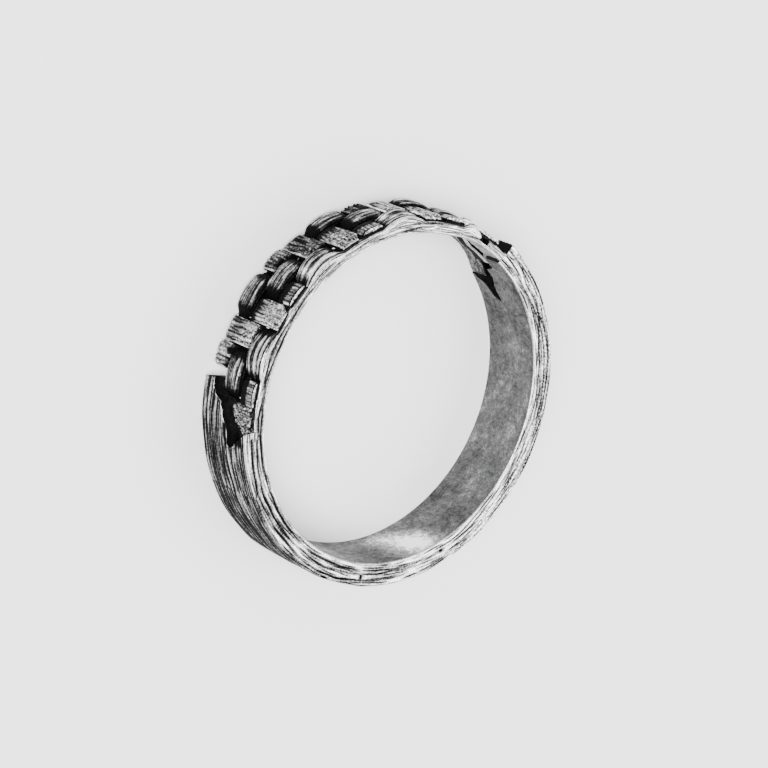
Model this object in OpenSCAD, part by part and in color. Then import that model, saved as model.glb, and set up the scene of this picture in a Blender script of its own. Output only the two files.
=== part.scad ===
// Braided band ring: a band torn open on one side, with strips woven through the tear.
// The ring lies on its side. Its axis is +Z, its far face rests on z = 0 and the weave faces -Y.

/* [Band] */
// Inner diameter of the ring
inner_d = 19; // [15:0.5:23]
// Thickness of the band's wall
wall = 1.4; // [1.3:0.1:2.2]
// Width of the band along the finger
band_w = 4; // [3.6:0.2:6]
// Width of the rail that is left beside the tear
rail_w = 1; // [0.8:0.1:1.1]

/* [Weave] */
// Number of cross strips
cross_n = 15; // [8:1:17]
// Width of a cross strip
cross_w = 1.43; // [1.2:0.01:1.6]
// Gap between two cross strips side by side
cross_gap = 0.06; // [0.04:0.01:0.1]
// Gap between two long strands side by side
strand_gap = 0.12; // [0.08:0.01:0.2]
// Thickness of a strip where it lies on top
strip_t = 0.36; // [0.3:0.02:0.44]
// Thickness of a strip where it runs underneath
under_t = 0.3; // [0.2:0.02:0.34]
// Clearance between two strips that cross
weave_gap = 0.04; // [0.03:0.01:0.06]
// Depth of the cross strips' tops below the band's outer face
weave_depth = 0.35; // [0.25:0.05:0.4]
// Height of the long strands' arches above the cross strips
arch_rise = 0.18; // [0.05:0.01:0.24]

/* [Tear] */
// Angle of the first cross strip's middle, from +X
weave_start = 328.5; // [300:0.5:335]
// Length of the tear past the weave's left end, along the outer face
left_tear = 3.7; // [2.5:0.1:4.5]
// Length of bare rail between the last cross strip and the band's right torn edge
end_room = 0.8; // [0.4:0.1:1.2]
// Length of the tear past the weave's right end, along the bore
right_tear = 3.75; // [2.5:0.1:4.5]
// Width of the notch that is worn into the rail
notch_w = 0.6; // [0.3:0.1:0.8]
// Depth of that notch
notch_depth = 0.28; // [0.1:0.02:0.4]

/* [Hidden] */
$fn = 180;

bore_r = inner_d / 2;
outer_r = bore_r + wall;

// The levels of the weave, as radii from the axis.
over_top = outer_r - weave_depth;
over_floor = over_top - strip_t;
under_top = over_floor - weave_gap;
under_floor = under_top - under_t;

// The three columns across the band: the rail's is 0, the middle 1 and the far one 2.
column_w = band_w / 3;
rail_z = band_w - rail_w;
strand_half = (column_w - strand_gap) / 2;
function column_z(c) = band_w - (c + 0.5) * column_w;

// A strip that runs underneath has a narrow waist, so that its neighbours can dive beside it.
strand_waist = 0.76 * strand_half;
cross_waist = 0.75 * cross_w / 2;

// Cross strips count along the weave in turns of one pitch. Strip 0 lies at weave_start.
pitch_a = (cross_w + cross_gap) / over_top * 180 / PI;
pitch_len = cross_w + cross_gap;
function turn_a(u) = weave_start - u * pitch_a;
last = cross_n - 1;
edge = cross_w / 2 / pitch_len;

// Each long strand or rail lies over two cross strips and under the next two, one strip further along for
// each column.
function cross_is_over(k, c) = k == last || (k + c) % 4 == 0 || (k + c) % 4 == 3;

// The turn at the right torn edge, and the angles at which the band's full height starts again.
right_u = last + edge + end_room / pitch_len;
left_step_a = turn_a(-edge - 0.93);
right_step_a = turn_a(right_u) - weave_gap / over_top * 180 / PI;
stub_a = turn_a(0.23);

tiny = 0.01;
left_slant = 0.8;

function ramp(x, a, b) = x <= a ? 0 : x >= b ? 1 : (1 - cos(180 * (x - a) / (b - a))) / 2;
function mix(a, b, t) = a + (b - a) * t;
function ring_point(a, z, r) = [r * cos(a), r * sin(a), z];

// The crowned section of a strip: share of the half width, share of the thickness.
crown = [[-1, 0], [1, 0], [1, 0.55], [0.82, 0.86], [0.4, 1], [-0.4, 1], [-0.82, 0.86], [-1, 0.55]];

// Skins a list of rings of points, each ring in the same order.
module skin(rings) {
    n = len(rings[0]);
    m = len(rings);
    sides = [for (i = [0:m - 2]) for (j = [0:n - 1]) each
        [[i * n + j, i * n + (j + 1) % n, (i + 1) * n + (j + 1) % n],
         [i * n + j, (i + 1) * n + (j + 1) % n, (i + 1) * n + j]]];
    caps = [[for (j = [n - 1:-1:0]) j], [for (j = [0:n - 1]) (m - 1) * n + j]];
    polyhedron(points = [for (r = rings) each r], faces = concat(sides, caps), convexity = 6);
}

// Long strands

dive_in = 0.5 + (cross_waist + weave_gap) / pitch_len;
dive_out = 1.5 - edge - weave_gap / pitch_len;
shoulder = 0.62;

// Distance from the middle of the nearest arch of column c, in pitches.
function arch_middle(i, c) = 4 * i + 1.5 - c;
function arch_dist(u, c) = min([for (i = [-1:5]) let (m = arch_middle(i, c))
    m > -1 && m < last ? abs(u - m) : 99]);
function arch_over(u, c, from) = 1 - ramp(arch_dist(u, c), from, dive_out);
function arch_bulge(u, c) = let (d = arch_dist(u, c) / dive_in) d < 1 ? arch_rise * (1 - d * d) : 0;
function strand_floor(u, c) = mix(under_floor, over_floor, arch_over(u, c, dive_in)) + 0.8 * arch_bulge(u, c);
function strand_top(u, c) = mix(under_top, over_top, arch_over(u, c, shoulder)) + arch_bulge(u, c);

step_u = 0.125;

// Past the last cross strip the strands widen and thicken to the wall that they come out of. The middle
// one is thick below from the last strip on.
root_out = right_u + 0.42;
root_gap = 0.08;
function root(u) = ramp(u, right_u, root_out);
function root_below(u, c) = c == 1 ? ramp(u, last - 0.55, last + 0.35) : ramp(u, root_out, far_to);

function strand_ring(u, c) = let (
        half = mix(strand_waist, strand_half, max(arch_over(u, c, shoulder), root(u))),
        low = mix(strand_floor(u, c), bore_r + root_gap, root_below(u, c)),
        high = mix(strand_top(u, c), outer_r - root_gap, root(u)))
    [for (q = crown) ring_point(turn_a(u), column_z(c) + q.x * half, mix(low, high, q.y))];

module strand(c, from, to) {
    steps = ceil((to - from) / step_u);
    skin([for (i = [0:steps]) strand_ring(from + (to - from) * i / steps, c)]);
}

// Where the long strands start and end. The middle one starts under the broken strip.
middle_from = -0.45;
middle_to = right_u + 0.52;
far_from = 0.5;
far_to = right_u + 1.62;

module middle_strand() {
    color("silver") strand(1, middle_from, middle_to);
}

module far_strand() {
    color("silver") strand(2, far_from, far_to);
}

// Cross strips

dive_len = column_w / 2 - strand_waist - weave_gap;
brow_len = 2 * dive_len;

// How far a cross strip has come up, 0 below and 1 on top, beside the border between two columns.
function rise(z, border, low_side, high_side, len) = low_side == high_side ? (low_side ? 1 : 0)
    : high_side ? ramp(z, border, border + len) : 1 - ramp(z, border - len, border);
function cross_state(k, z, len) = z > column_z(1)
    ? rise(z, 2 * column_w, cross_is_over(k, 1), cross_is_over(k, 0), len)
    : rise(z, column_w, cross_is_over(k, 2), cross_is_over(k, 1), len);

end_gap = 0.03;
dip_len = 0.5;
far_dip_depth = 0.34;
near_dip_depth = 0.2;

// A strip that is over both columns at a side of the band bends down there. The others stick out.
function far_bends(k) = cross_is_over(k, 2) && cross_is_over(k, 1);
function near_bends(k) = cross_is_over(k, 0) && cross_is_over(k, 1);
function far_sag(k, z) = far_bends(k) ? 1 - ramp(z, -dip_len / 2, dip_len) : 0;
function near_sag(k, z) = near_bends(k) ? ramp(z, band_w - dip_len, band_w + dip_len / 2) : 0;
function cross_floor(k, z) = mix(under_floor, over_floor, cross_state(k, z, dive_len))
    - (far_bends(k) ? far_dip_depth * (1 - ramp(z, -dip_len, column_z(2) - strand_waist - weave_gap)) : 0);
function cross_top(k, z) = mix(under_top, over_top, cross_state(k, z, brow_len))
    - far_dip_depth * far_sag(k, z) - near_dip_depth * near_sag(k, z);

function cross_ring(k, z) = let (
        half = mix(cross_waist, cross_w / 2, cross_state(k, z, brow_len)),
        low = cross_floor(k, z), high = cross_top(k, z))
    [for (q = crown) let (r = mix(low, high, q.y))
        ring_point(turn_a(k) + q.x * half / over_top * 180 / PI, z, r)];

cross_steps = 22;

module cross_strip(k) {
    from = k == 0 ? column_w + end_gap : end_gap;
    to = cross_is_over(k, 0) ? band_w - end_gap : rail_z - weave_gap;
    color("gainsboro") skin([for (i = [0:cross_steps]) cross_ring(k, mix(from, to, i / cross_steps))]);
}

// Broken strip

// Share of the rail's width, share of the pitch from its right and left edges, share of the thickness.
stump = [[-0.62, 0.05, 0.2, 0.4], [-0.5, 0.03, 0.58, 0.8], [-0.1, 0, 0.92, 0.7], [0.4, 0.02, 1.07, 0.9],
    [0.85, 0, 0.93, 0.6]];

module broken_strip() {
    from = turn_a(-edge - 0.02);
    low = over_floor + weave_gap;
    color("gray") skin([for (s = stump) let (z = rail_z + s[0] * rail_w,
            a = from + s[1] * pitch_a, b = from + s[2] * pitch_a,
            top = low + s[3] * strip_t)
        [ring_point(b, z, low), ring_point(b, z, mix(low, top, 0.6)), ring_point(mix(a, b, 0.6), z, top),
         ring_point(a, z, top + 0.15 * strip_t), ring_point(a, z, low)]]);
}

// Band

// The torn edges, each gone round once: share of the tear's length, share of the band's width.
left_edge = [[-0.2, 0.2], [0.17, 0.22], [0.28, 0.28], [0.33, 0.42], [0.58, 0.5], [0.69, 0.57], [0.79, 0.59],
    [0.95, 0.56], [1, 0.62], [0.97, 0.7], [0.9, 0.76], [-0.2, 0.76]];
right_edge = [[-0.1, -0.2], [0.6, -0.2], [0.62, 0.1], [0.7, 0.22], [0.8, 0.26], [0.93, 0.33], [1, 0.47],
    [0.93, 0.5], [0.8, 0.44], [0.7, 0.43], [0.53, 0.49], [0.31, 0.5], [0.24, 0.62], [0.16, 0.71], [0, 0.76],
    [-0.1, 0.76]];
left_a = left_tear / outer_r * 180 / PI;
right_a = right_tear / bore_r * 180 / PI;
cut_in = 0.9 * bore_r;
cut_out = 1.06 * outer_r;
cut_over = 1;

// Cuts an outline of points (along the face, up) through the wall, straight in at one angle.
module cut_through(a, from_r, outline) {
    rotate(a) translate([from_r, 0, 0]) rotate([90, 0, 90]) linear_extrude(cut_out - from_r)
        polygon(outline);
}
tear_lip = 0.04;
function edge_z(share) = min(share * band_w, rail_z - tear_lip);

module tear() {
    rotate_extrude(angle = stub_a - right_step_a, start = right_step_a)
        translate([cut_in, -cut_over]) square([cut_out - cut_in, rail_z + cut_over]);
    cut_through(stub_a + left_a / 2, cut_in,
        [for (s = left_edge) [(s[0] - 0.5) * left_tear, edge_z(s[1])]]);
    cut_through(right_step_a - right_a / 2, cut_in,
        [for (s = right_edge) [(0.5 - s[0]) * right_tear, edge_z(s[1])]]);
}

// The room over the rail. Its left end slants from the tear to the near face.
module rail_room() {
    slant = left_slant * rail_w;
    low = rail_z - 2 * tear_lip;
    rotate_extrude(angle = left_step_a - pitch_a / 4 - right_step_a, start = right_step_a)
        translate([under_top, low]) square([cut_out - under_top, rail_w + cut_over]);
    cut_through(left_step_a, under_top - tiny,
        [[-pitch_len, low], [slant, low], [-slant, band_w + rail_w], [-pitch_len, band_w + rail_w]]);
}

// The rail's arches get lower towards the near face: share of the rail's width, share of the height.
arch_steps = [[0.35, 1], [0.7, 0.85], [1, 0.6]];
arch_turns = 16;

// Beside the rail the arches are hollow below, where the cross strips' ends tuck in. The last arch is cut
// short by the last strip.
module rail_arch(i) {
    from = arch_middle(i, 0) - dive_out;
    to = min(from + 2 * dive_out, last - 1.5 + dive_out);
    m = (from + to) / 2;
    half = (to - from) / 2;
    us = [for (j = [0:arch_turns]) m + half * (2 * j / arch_turns - 1)];
    function spot(u, r) = [r * cos(turn_a(u)), r * sin(turn_a(u))];
    function arch_r(u, share) = mix(under_top - 2 * tiny, over_top + arch_rise,
        share * pow(max(cos(90 * (u - m) / half), 0), 0.8));
    module slab(from_z, to_z, share, low, least) translate([0, 0, from_z]) linear_extrude(to_z - from_z)
        polygon(concat([for (u = us) spot(u, max(arch_r(u, share), low + least))],
            [for (j = [arch_turns:-1:0]) spot(us[j], low)]));
    slab(column_z(0) - strand_half, rail_z + tiny, 1, over_floor, root_gap);
    for (s = arch_steps) slab(rail_z, rail_z + s[0] * rail_w, s[1], under_top - root_gap, tiny);
}

module notch() {
    rotate(turn_a(last - 0.22)) translate([under_top - notch_depth, -notch_w / 2, rail_z - cut_over])
        cube([wall, notch_w, rail_w + 2 * cut_over]);
}

module band() {
    color("darkgray") difference() {
        union() {
            difference() {
                cylinder(r = outer_r, h = band_w);
                tear();
                rail_room();
            }
            for (i = [0:5]) if (arch_middle(i, 0) < last) rail_arch(i);
        }
        translate([0, 0, -cut_over]) cylinder(r = bore_r, h = band_w + 2 * cut_over);
        notch();
    }
}

band();
middle_strand();
far_strand();
broken_strip();
for (k = [1:cross_n]) cross_strip(k - 1);
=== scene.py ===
import math

import bmesh
import bpy
import numpy as np
from mathutils import Matrix, Vector


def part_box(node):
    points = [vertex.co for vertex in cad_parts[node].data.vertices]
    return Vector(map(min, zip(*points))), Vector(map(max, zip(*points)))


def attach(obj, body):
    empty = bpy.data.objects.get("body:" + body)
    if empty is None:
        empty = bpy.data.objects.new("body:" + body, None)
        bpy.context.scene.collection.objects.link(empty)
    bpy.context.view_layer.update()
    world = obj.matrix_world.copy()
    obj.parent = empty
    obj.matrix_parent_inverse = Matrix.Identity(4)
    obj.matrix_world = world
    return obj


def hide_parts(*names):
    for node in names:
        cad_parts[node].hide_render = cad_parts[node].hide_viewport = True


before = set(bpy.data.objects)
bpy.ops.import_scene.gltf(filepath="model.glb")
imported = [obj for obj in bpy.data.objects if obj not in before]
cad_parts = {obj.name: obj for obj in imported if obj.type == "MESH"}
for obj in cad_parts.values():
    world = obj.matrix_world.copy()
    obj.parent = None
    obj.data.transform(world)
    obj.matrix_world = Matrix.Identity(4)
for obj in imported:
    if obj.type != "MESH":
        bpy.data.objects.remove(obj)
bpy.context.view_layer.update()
print("frame loaded:", len(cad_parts), "nodes")

mm = 0.001
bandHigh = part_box("band")[1]

# Sizes in millimetres and degrees. Angles run round the ring's axis from +X.
ring = {
    "outerRadius": bandHigh.x / mm,
    "boreRadius": 9.5,
    "width": bandHigh.z / mm,
    "railWidth": 1.0,
    "bevel": 0.06,
}
degreeLength = 0.19  # along the outer face
weave = {
    "start": 328.5,  # middle of the first cross strip
    "count": 15,
    "crossWidth": 1.43,
    "crossGap": 0.06,
    "strandGap": 0.12,
    "topThick": 0.36,
    "underThick": 0.3,
    "clearance": 0.04,
    "sunk": 0.35,  # depth of the weave's tops below the outer face
    "archRise": 0.18,
    "endRoom": 0.8,  # bare rail past the last cross strip
}
overTop = ring["outerRadius"] - weave["sunk"]
overFloor = overTop - weave["topThick"]
underTop = overFloor - weave["clearance"]
underFloor = underTop - weave["underThick"]
columnWidth = ring["width"] / 3
railZ = ring["width"] - ring["railWidth"]
strandHalf = (columnWidth - weave["strandGap"]) / 2
pitch = weave["crossWidth"] + weave["crossGap"]
pitchAngle = math.degrees(pitch / overTop)
last = weave["count"] - 1
stripEdge = weave["crossWidth"] / 2 / pitch
strandWaist = 0.76 * strandHalf
crossWaist = 0.75 * weave["crossWidth"] / 2
diveIn = 0.5 + (crossWaist + weave["clearance"]) / pitch
diveOut = 1.5 - stripEdge - weave["clearance"] / pitch
rightTurn = last + stripEdge + weave["endRoom"] / pitch


def turnAngle(u):
    return weave["start"] - u * pitchAngle


def columnZ(c):
    return ring["width"] - (c + 0.5) * columnWidth


def mix(a, b, t):
    return a + (b - a) * t


def ramp(x, a, b):
    t = np.clip((np.asarray(x, float) - a) / (b - a), 0, 1)
    return (1 - np.cos(np.pi * t)) / 2


def plateau(x, a, b, c, d):
    # Rises from a to b and falls from c to d.
    return ramp(x, a, b) * (1 - ramp(x, c, d))


def crossIsOver(k, c):
    return k == last or (k + c) % 4 in (0, 3)


def archDistance(u, c):
    middles = [m for m in (4 * i + 1.5 - c for i in range(-1, 6)) if -1 < m < last]
    return np.min([np.abs(np.asarray(u, float) - m) for m in middles], axis=0)


# Smooth random functions, each with its own seed


def makeWave(seed, shortest, longest, count):
    rng = np.random.default_rng(seed)
    lengths = np.geomspace(shortest, longest, count) * rng.uniform(0.9, 1.1, count)
    heights = np.sqrt(lengths / longest)
    phases = rng.uniform(0, 2 * np.pi, count)
    total = np.sqrt((heights**2).sum())

    def wave(x):
        x = np.asarray(x, float)[..., None]
        return (heights * np.sin(2 * np.pi * x / lengths + phases)).sum(-1) / total

    return wave


def makeRough(seed, size, count=28):
    # Lumps of about the given size on a surface, from waves in many directions.
    rng = np.random.default_rng(seed)
    turn = rng.uniform(0, 2 * np.pi, count)
    rate = 2 * np.pi / size * rng.uniform(0.5, 1.6, count)
    phase = rng.uniform(0, 2 * np.pi, count)

    def rough(x, y):
        total = np.zeros(np.broadcast(x, y).shape)
        for t, r, p in zip(turn, rate, phase):
            total += np.sin(r * (x * np.cos(t) + y * np.sin(t)) + p)
        return total / math.sqrt(count / 2)

    return rough


# Kinds of groove: width, how far it wobbles, the length of a wobble and of a break, and how much of it is cut
grooveKinds = {
    "outer": (0.06, 0.05, 22.0, 9.0, 0.95),
    "outerFine": (0.042, 0.06, 14.0, 5.0, 0.4),
    "faceFine": (0.048, 0.06, 9.0, 5.0, 0.55),
    "farFace": (0.05, 0.05, 14.0, 5.0, 0.6),
    "strand": (0.06, 0.02, 5.0, 5.0, 0.9),
    "farTab": (0.07, 0.02, 3.0, 6.0, 1.0),
    "cross": (0.055, 0.03, 3.0, 6.0, 0.9),
    "crossFine": (0.03, 0.02, 2.0, 2.0, 0.2),
}


def makeLines(seed, places, kind):
    width, wobble, wobbleLength, breakLength, fill = grooveKinds[kind]
    rng = np.random.default_rng(seed)
    lines = []
    for place in places:
        lines.append({
            "at": place,
            "width": width * rng.uniform(0.8, 1.3),
            "bend": makeWave(int(rng.integers(1 << 30)), wobbleLength / 3, wobbleLength, 5),
            "wobble": wobble,
            "strength": makeWave(int(rng.integers(1 << 30)), breakLength / 4, breakLength, 5),
            "fill": fill,
        })
    return lines


def carve(along, across, lines):
    # How deep the grooves are at each point, 0 on the ridges and 1 in the deepest groove.
    deepest = np.zeros(np.broadcast(along, across).shape)
    for line in lines:
        offset = across - line["at"] - line["wobble"] * line["bend"](along)
        strength = np.clip(line["fill"] + 0.55 * line["strength"](along), 0, 1)
        deepest = np.maximum(deepest, strength * np.exp(-((offset / line["width"]) ** 2)))
    return deepest


def evenPlaces(seed, count, low, high, jitter):
    rng = np.random.default_rng(seed)
    step = (high - low) / count
    return low + step * (np.arange(count) + 0.5 + rng.uniform(-jitter, jitter, count))


# Meshes


def ringPoints(angle, z, r):
    a = np.radians(angle)
    return np.stack([r * np.cos(a), r * np.sin(a), z + 0 * r + 0 * a], -1)


def gridFaces(ids, closedRows=False, closedCols=False):
    a = np.concatenate([ids, ids[:1]]) if closedRows else ids
    a = np.concatenate([a, a[:, :1]], 1) if closedCols else a
    return np.stack([a[:-1, :-1], a[:-1, 1:], a[1:, 1:], a[1:, :-1]], -1).reshape(-1, 4)


def makePiece(name, points, faces, marks, materials, faceMaterial, node, sharpAngle):
    # faces are rows of 4 vertex numbers, and a triangle repeats its last one.
    mesh = bpy.data.meshes.new(name)
    rows = [row[:3] if row[2] == row[3] else row for row in faces.tolist()]
    mesh.from_pydata((points * mm).tolist(), [], rows)
    for markName, values in marks.items():
        attribute = mesh.attributes.new(markName, "FLOAT", "POINT")
        attribute.data.foreach_set("value", np.asarray(values, np.float32))
    for material in materials:
        mesh.materials.append(material)
    mesh.polygons.foreach_set("material_index", np.asarray(faceMaterial, np.int32))
    mesh.polygons.foreach_set("use_smooth", np.ones(len(rows), bool))
    work = bmesh.new()
    work.from_mesh(mesh)
    bmesh.ops.recalc_face_normals(work, faces=work.faces)
    work.to_mesh(mesh)
    work.free()
    mesh.set_sharp_from_angle(angle=math.radians(sharpAngle))
    piece = bpy.data.objects.new(name, mesh)
    bpy.context.scene.collection.objects.link(piece)
    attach(piece, "root")
    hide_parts(node)
    return piece


# Materials


def newGroup(name, inputs, outputs):
    # inputs and outputs map the names of sockets to their kinds.
    group = bpy.data.node_groups.new(name, "ShaderNodeTree")
    for direction, sockets in (("INPUT", inputs), ("OUTPUT", outputs)):
        for socketName, kind in sockets.items():
            group.interface.new_socket(socketName, in_out=direction, socket_type="NodeSocket" + kind)
    return group, group.nodes.new("NodeGroupInput"), group.nodes.new("NodeGroupOutput")


def setInputs(tree, node, values):
    # Each value is a constant or another node's output.
    for name, value in values.items():
        if isinstance(value, bpy.types.NodeSocket):
            tree.links.new(value, node.inputs[name])
        else:
            node.inputs[name].default_value = value


def mathNode(tree, kind, a, b=0.0, clamp=False):
    node = tree.nodes.new("ShaderNodeMath")
    node.operation = kind
    node.use_clamp = clamp
    setInputs(tree, node, {0: a, 1: b})
    return node.outputs[0]


def noiseNode(tree, vector, scale, detail, roughness):
    node = tree.nodes.new("ShaderNodeTexNoise")
    setInputs(tree, node, {"Vector": vector, "Scale": scale, "Detail": detail, "Roughness": roughness})
    return node.outputs["Fac"]


def rangeNode(tree, value, low, high, toLow, toHigh):
    node = tree.nodes.new("ShaderNodeMapRange")
    node.interpolation_type = "SMOOTHSTEP"
    limits = {"From Min": low, "From Max": high, "To Min": toLow, "To Max": toHigh}
    setInputs(tree, node, {"Value": value, **limits})
    return node.outputs["Result"]


def groupNode(tree, group, values):
    node = tree.nodes.new("ShaderNodeGroup")
    node.node_tree = group
    setInputs(tree, node, values)
    return node.outputs


def markNode(tree, name):
    node = tree.nodes.new("ShaderNodeAttribute")
    node.attribute_name = name
    return node.outputs["Fac"]


# Lengthwise coordinates: distance along the ring's turn, its width and its radius, in metres
def makeTurnSpace():
    inputs = {"stretch": "Float", "stretchAcross": "Float"}
    group, into, out = newGroup("turnSpace", inputs, {"vector": "Vector"})
    split = group.nodes.new("ShaderNodeSeparateXYZ")
    group.links.new(group.nodes.new("ShaderNodeTexCoord").outputs["Object"], split.inputs[0])
    x, y, z = split.outputs
    turn = mathNode(group, "MULTIPLY", mathNode(group, "ARCTAN2", y, x), ring["outerRadius"] * mm)
    squares = mathNode(group, "ADD", mathNode(group, "POWER", x, 2.0), mathNode(group, "POWER", y, 2.0))
    join = group.nodes.new("ShaderNodeCombineXYZ")
    setInputs(group, join, {
        "X": mathNode(group, "DIVIDE", turn, into.outputs["stretch"]),
        "Y": mathNode(group, "DIVIDE", z, into.outputs["stretchAcross"]),
        "Z": mathNode(group, "SQRT", squares),
    })
    group.links.new(join.outputs[0], out.inputs["vector"])
    return group


# The low mark holds the patina of low places and also painted shade and painted highlights.
markNames = ("groove", "low", "grain")
patinaAmounts = (
    "grooveAmount", "streakScale", "streakAmount", "speckScale", "speckAmount", "cloudAmount", "bias",
)


# Black patina in the grooves and low places, together with the painted shade and painted highlights that the
# low mark carries, broken up by lengthwise streaks and fine specks
def makePatinaAndPaintedLight():
    inputs = {"lengthwise": "Vector", "place": "Vector", **dict.fromkeys(markNames + patinaAmounts, "Float")}
    group, into, out = newGroup("blackPatinaAndPaintedLight", inputs, {"darkness": "Float", "height": "Float"})
    given = into.outputs

    def noise(space, scale, detail, roughness, amount, middle=0.5):
        value = noiseNode(group, given[space], scale, detail, roughness)
        return mathNode(group, "MULTIPLY", mathNode(group, "SUBTRACT", value, middle), amount)

    streak = noise("lengthwise", given["streakScale"], 4.0, 0.6, given["streakAmount"])
    speck = noise("place", given["speckScale"], 3.0, 0.6, given["speckAmount"])
    cloudScale = mathNode(group, "MULTIPLY", given["streakScale"], 0.22)
    cloud = noise("lengthwise", cloudScale, 2.0, 0.5, given["cloudAmount"])
    # Grainy places have stronger specks in place of grooves.
    grainScale = mathNode(group, "MULTIPLY", given["speckScale"], 0.75)
    grain = mathNode(group, "MULTIPLY", noise("place", grainScale, 3.0, 0.7, 3.4, 0.52), given["grain"])
    uneven = mathNode(group, "ADD", mathNode(group, "ADD", streak, speck), cloud)
    uneven = mathNode(group, "ADD", uneven, grain)
    groove = mathNode(group, "MULTIPLY", given["groove"], given["grooveAmount"])
    groove = mathNode(group, "MULTIPLY", groove, mathNode(group, "SUBTRACT", 1.0, given["grain"]))
    total = mathNode(group, "ADD", mathNode(group, "ADD", groove, given["low"]),
                     mathNode(group, "ADD", uneven, given["bias"]), clamp=True)
    group.links.new(total, out.inputs["darkness"])
    group.links.new(mathNode(group, "MULTIPLY", uneven, -1.0), out.inputs["height"])
    return group


turnSpace = makeTurnSpace()
patinaAndPaintedLight = makePatinaAndPaintedLight()


def makeSilver(name, look):
    material = bpy.data.materials.new(name)
    material.use_nodes = True
    tree = material.node_tree
    shader = tree.nodes["Principled BSDF"]
    space = groupNode(tree, turnSpace, {key: look[key] for key in ("stretch", "stretchAcross")})
    values = {key: look[key] for key in patinaAmounts}
    values.update({mark: markNode(tree, mark) for mark in markNames})
    values["lengthwise"] = space["vector"]
    values["place"] = tree.nodes.new("ShaderNodeTexCoord").outputs["Object"]
    made = groupNode(tree, patinaAndPaintedLight, values)
    darkness = made["darkness"]
    greyRamp = tree.nodes.new("ShaderNodeValToRGB")
    stops = greyRamp.color_ramp.elements
    for position in (0.25, 0.5, 0.75):
        stops.new(position)
    for stop, grey in zip(stops, look["greys"]):
        stop.color = (grey, grey, grey * 1.01, 1)
    bump = tree.nodes.new("ShaderNodeBump")
    setInputs(tree, greyRamp, {"Fac": darkness})
    setInputs(tree, bump, {
        "Strength": look["bumpStrength"], "Distance": look["bumpDepth"] * mm, "Height": made["height"],
    })
    setInputs(tree, shader, {
        "Base Color": greyRamp.outputs["Color"],
        "Roughness": rangeNode(tree, darkness, 0.0, 0.9, look["roughness"], 0.62),
        "Metallic": rangeNode(tree, darkness, 0.4, 1.0, 1.0, look["blackMetal"]),
        "Specular IOR Level": 0.0,
        "Normal": bump.outputs["Normal"],
    })
    return material


# Greys run from the polished ridges to the black patina.
faceLook = {
    "stretch": 9.0, "stretchAcross": 1.0, "streakScale": 6500.0, "streakAmount": 1.0, "speckScale": 9000.0,
    "speckAmount": 0.9, "cloudAmount": 0.25, "grooveAmount": 0.85, "bias": 0.34, "roughness": 0.28,
    "greys": (0.97, 0.7, 0.24, 0.035, 0.003), "blackMetal": 0.4, "bumpStrength": 0.5, "bumpDepth": 0.02,
}
boreLook = dict(
    faceLook, stretch=1.2, streakScale=3200.0, streakAmount=0.8, speckAmount=0.7, cloudAmount=0.55,
    grooveAmount=0.5, bias=0.55, greys=(0.95, 0.3, 0.12, 0.06, 0.006), roughness=0.36, blackMetal=0.6,
    bumpStrength=0.25, bumpDepth=0.01,
)
tornLook = dict(
    faceLook, stretch=2.0, streakScale=3500.0, streakAmount=0.8, speckScale=7000.0, speckAmount=0.6,
    cloudAmount=0.3, grooveAmount=0.3, bias=0.75, greys=(0.3, 0.15, 0.05, 0.008, 0.003), roughness=0.5,
    blackMetal=0.0, bumpStrength=0.8, bumpDepth=0.03,
)
strandLook = dict(faceLook, stretch=6.0, streakAmount=0.7, cloudAmount=0.3, bias=0.27, grooveAmount=0.75)
crossLook = dict(
    faceLook, stretch=1.0, stretchAcross=5.0, streakScale=6000.0, cloudAmount=0.3, bias=0.3, grooveAmount=0.6,
)
brokenLook = dict(
    faceLook, stretch=1.0, streakScale=6000.0, streakAmount=1.2, speckScale=11000.0, speckAmount=1.6,
    grooveAmount=0.35, bias=0.67, bumpStrength=0.9, bumpDepth=0.05,
)

faceSilver = makeSilver("wornFaceSilver", faceLook)
boreSilver = makeSilver("satinBoreSilver", boreLook)
tornSilver = makeSilver("blackTornSilver", tornLook)
strandSilver = makeSilver("strandSilver", strandLook)
crossSilver = makeSilver("crossStripSilver", crossLook)
brokenSilver = makeSilver("brokenStripSilver", brokenLook)
print("materials made")


# Band

bandSizes = {
    "leftStep": turnAngle(-stripEdge - 0.93),  # where the full height starts at the near face
    "stepSlant": 4.2,
    "rightStep": turnAngle(rightTurn) - math.degrees(weave["clearance"] / overTop),
    "stepWidth": 0.12,
    "notchMiddle": turnAngle(last - 0.22),
    "notchHalf": 1.62,
    "notchDepth": 0.28,
    "rowStep": 1.0,
    "railRowStep": 0.6,
    "grooveDepth": 0.05,
    "faceGrooveDepth": 0.05,
    "nickDepth": 0.12,
    "thinFrom": 208.0,  # the rail is a little thinner inside from here on
    "thinDepth": 0.16,
    "nearFall": (3.15, 0.85, 0.42),  # an arch is lower from this height, over this length, by this share
    "innerFall": (2.95, 0.25, 0.25),  # the same towards its other edge
    "archEdge": 2.727,
    "pathWidth": 0.082,
    "pathWobble": 0.03,
    "boreCount": 7,  # points across the bore, then across a face and the outer side
    "nearCounts": (60, 68),
    "farCounts": (22, 60),
    "wallCount": 14,  # points down a cut face, and down its part beside an arch
    "flankCount": 5,
    "leftEnd": (327.2, -1.3),  # where each far stub is broken off, and how many degrees the break leans
    "rightEnd": (193.6, 0.2),
}
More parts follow.
